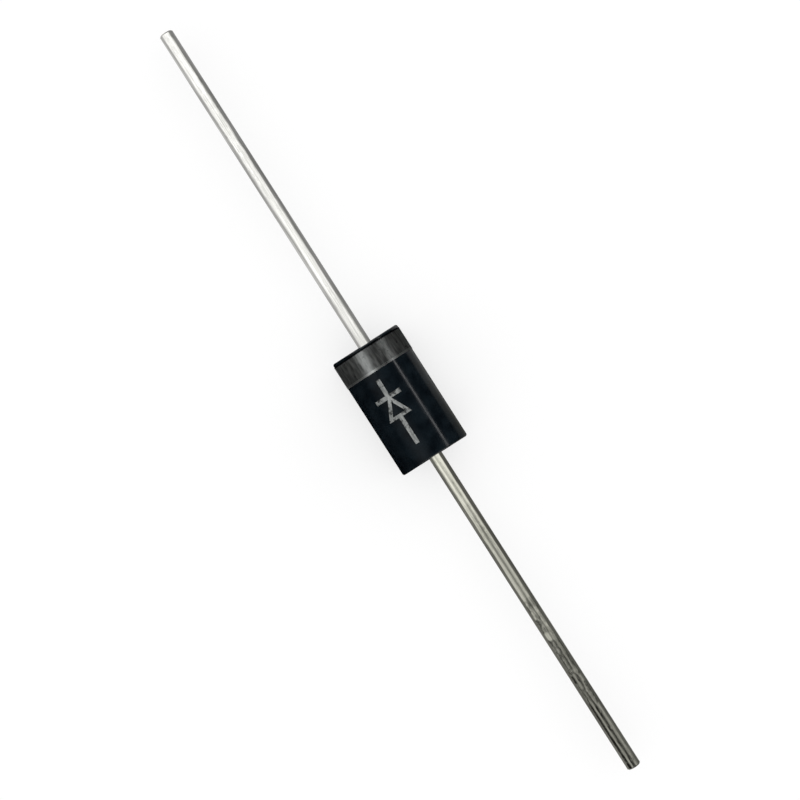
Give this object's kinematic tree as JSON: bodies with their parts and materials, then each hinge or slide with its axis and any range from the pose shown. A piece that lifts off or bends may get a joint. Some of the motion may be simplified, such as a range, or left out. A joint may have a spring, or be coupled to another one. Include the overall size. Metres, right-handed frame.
{
  "type": "axial rectifier diode",
  "caption": "Axial-lead rectifier diode: black moulded cylindrical body with a silver-grey cathode band, holding a soldered silicon chip between the heads of straight tinned copper leads.",
  "frame": {"origin": "middle of the moulded body, on the axis of the leads", "axes": "+X along the lead axis towards the cathode, which is the banded end; +Z towards the printed side of the body; the mould's parting plane is z = 0"},
  "size_m": [0.0598, 0.0052, 0.0052],
  "materials": {
    "moulded_epoxy": "gloss",
    "marking_ink": "satin",
    "tinned_copper": "polished",
    "silicon": "satin",
    "solder": "satin",
    "silicone_coating": "gloss"
  },
  "bodies": {
    "root": {"epoxy_body": "moulded_epoxy", "cathode_band": "marking_ink", "cathode_lead": "tinned_copper", "anode_lead": "tinned_copper", "silicon_chip": "silicon", "cathode_solder": "solder", "anode_solder": "solder", "junction_coating": "silicone_coating"}
  },
  "joints": []
}
